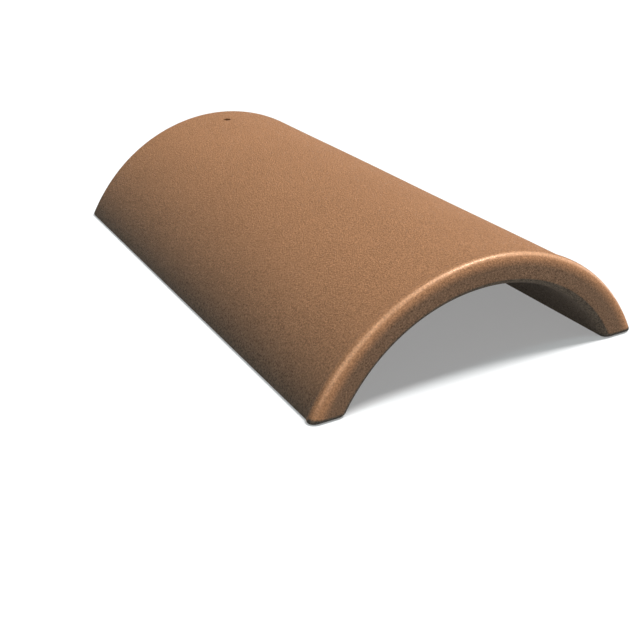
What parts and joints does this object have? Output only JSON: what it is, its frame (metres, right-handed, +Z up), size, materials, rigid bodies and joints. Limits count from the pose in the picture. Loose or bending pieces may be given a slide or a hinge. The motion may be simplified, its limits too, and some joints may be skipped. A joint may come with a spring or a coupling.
{
  "type": "ridge tile",
  "caption": "Arched clay ridge tile with a rounded nose at the front, a narrower back and a nail hole through the crown.",
  "frame": {"origin": "on the floor at the middle of the tile's length and width", "axes": "+Z up through the crown, +Y along the tile from the rounded nose to the narrower back, +X across"},
  "size_m": [0.2446, 0.38, 0.0799],
  "materials": {
    "clay": "matte, sandy fired clay"
  },
  "bodies": {
    "root": {"ridge_tile": "clay"}
  },
  "joints": []
}
